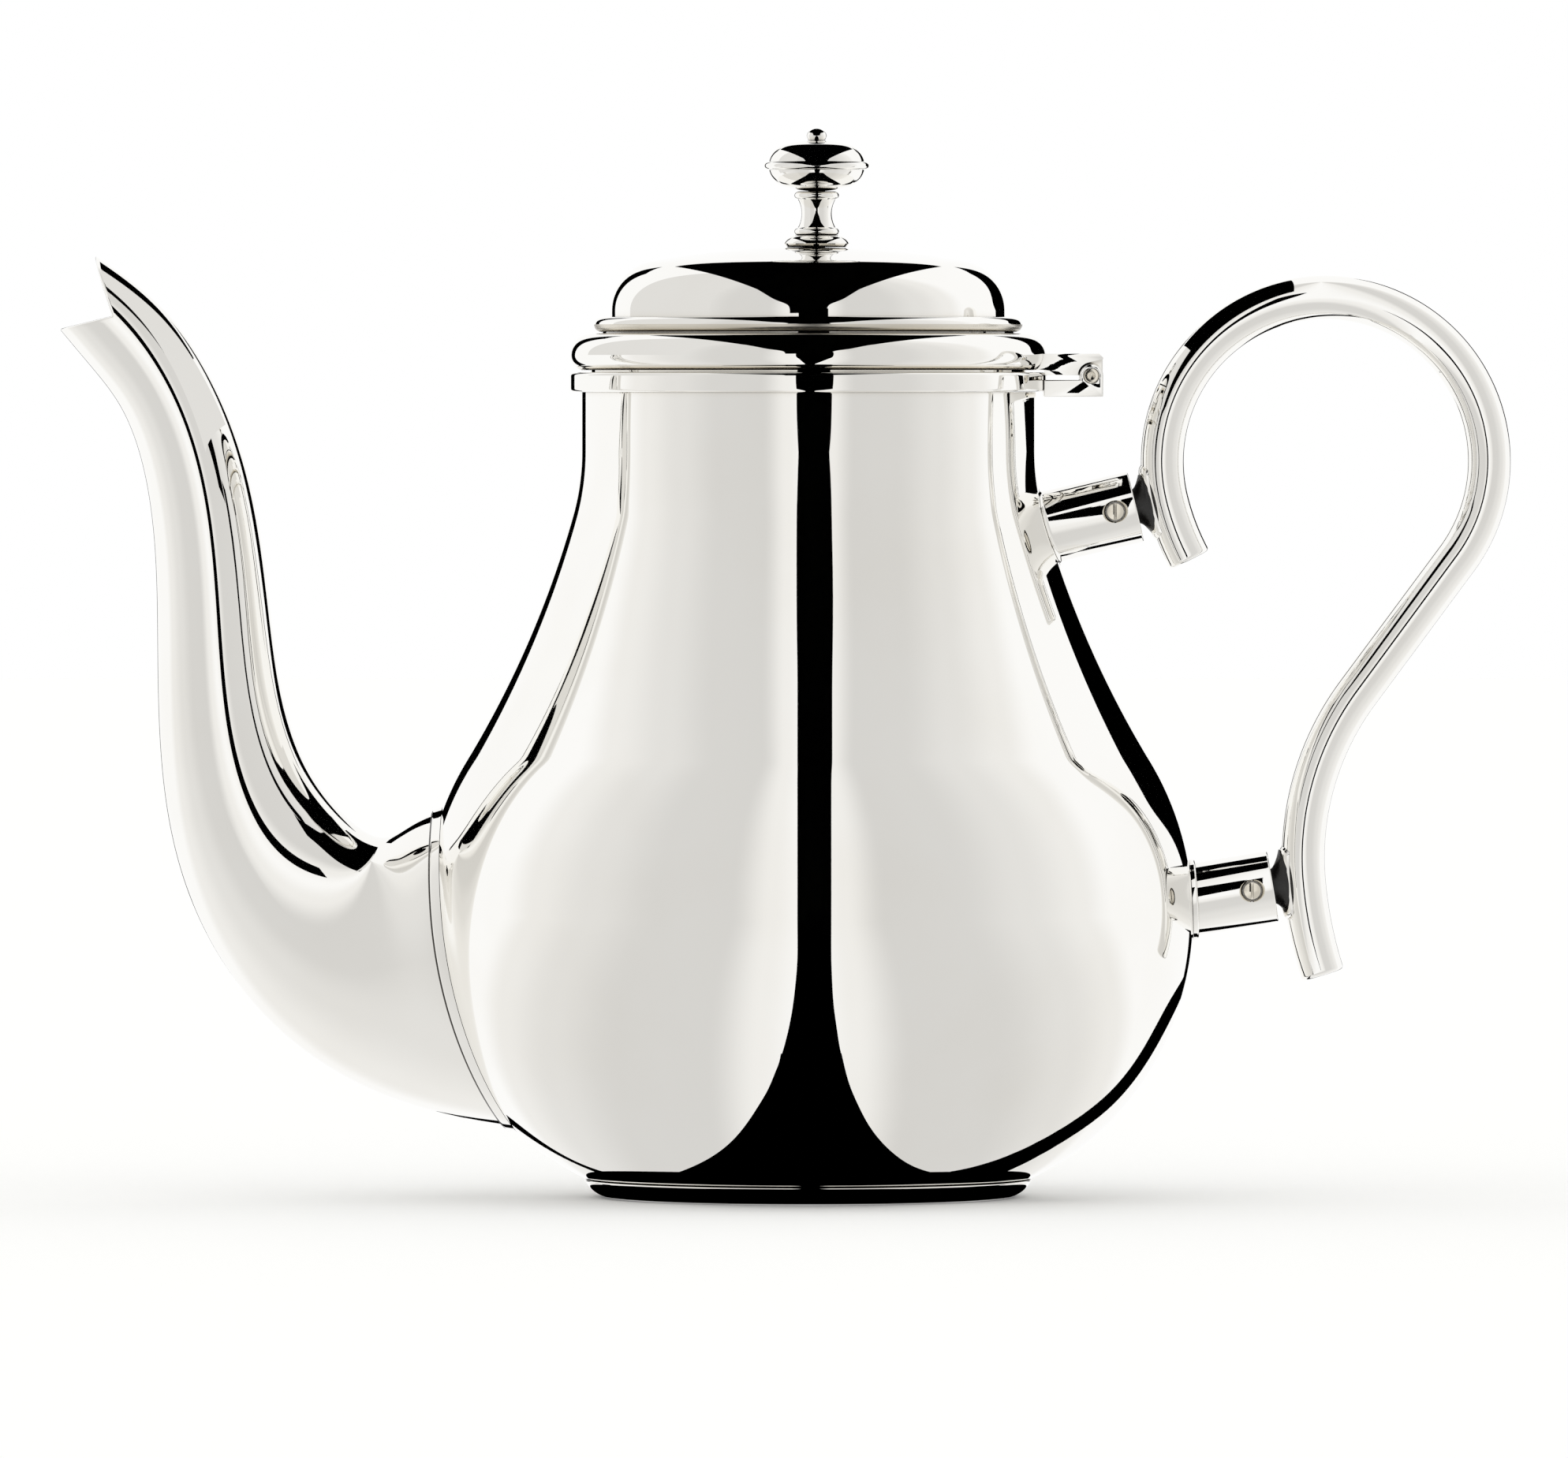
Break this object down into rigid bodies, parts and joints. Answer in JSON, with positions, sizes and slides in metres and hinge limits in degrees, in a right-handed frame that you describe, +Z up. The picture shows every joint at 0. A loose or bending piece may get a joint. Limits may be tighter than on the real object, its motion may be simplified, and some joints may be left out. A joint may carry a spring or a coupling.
{
  "type": "coffee pot",
  "caption": "Mirror-polished silver-plated coffee pot with a pear body, swan-neck spout with a beak mouth, hinged domed lid with a turned finial, and tube handle on insulated sockets.",
  "frame": {"origin": "on the pot's axis, in the plane that the foot ring stands on", "axes": "+Z up; the spout points to -X and the handle to +X; the front of the picture is -Y"},
  "size_m": [0.2587, 0.137, 0.1897],
  "materials": {
    "silver_plate": "mirror-polished silver plate",
    "insulator": "black moulded phenolic, buffed",
    "nickel_silver": "turned nickel silver"
  },
  "bodies": {
    "pot": {"body_shell": "silver_plate", "foot_ring": "silver_plate", "rim_collar": "silver_plate", "spout": "silver_plate", "spout_flange": "silver_plate", "upper_socket": "silver_plate", "lower_socket": "silver_plate", "upper_socket_screw": "nickel_silver", "lower_socket_screw": "nickel_silver", "upper_insulator": "insulator", "lower_insulator": "insulator", "upper_handle_stud": "silver_plate", "lower_handle_stud": "silver_plate", "handle_tube": "silver_plate", "handle_upper_plug": "silver_plate", "handle_lower_plug": "silver_plate", "hinge_body_leaf": "silver_plate", "hinge_pin": "nickel_silver"},
    "lid": {"hinge_lid_leaf": "silver_plate", "lid_dome": "silver_plate", "lid_bezel": "silver_plate", "finial_base": "silver_plate", "finial_stem": "silver_plate", "finial_ball": "silver_plate", "finial_tip": "silver_plate", "finial_stud": "nickel_silver", "finial_washer": "nickel_silver", "finial_nut": "nickel_silver"}
  },
  "joints": [
    {"name": "lid_hinge", "type": "hinge", "parent": "pot", "child": "lid", "pos_m": [0.0501, 0, 0.1458], "axis": [0, 1, 0], "range_deg": [0, 100]}
  ]
}
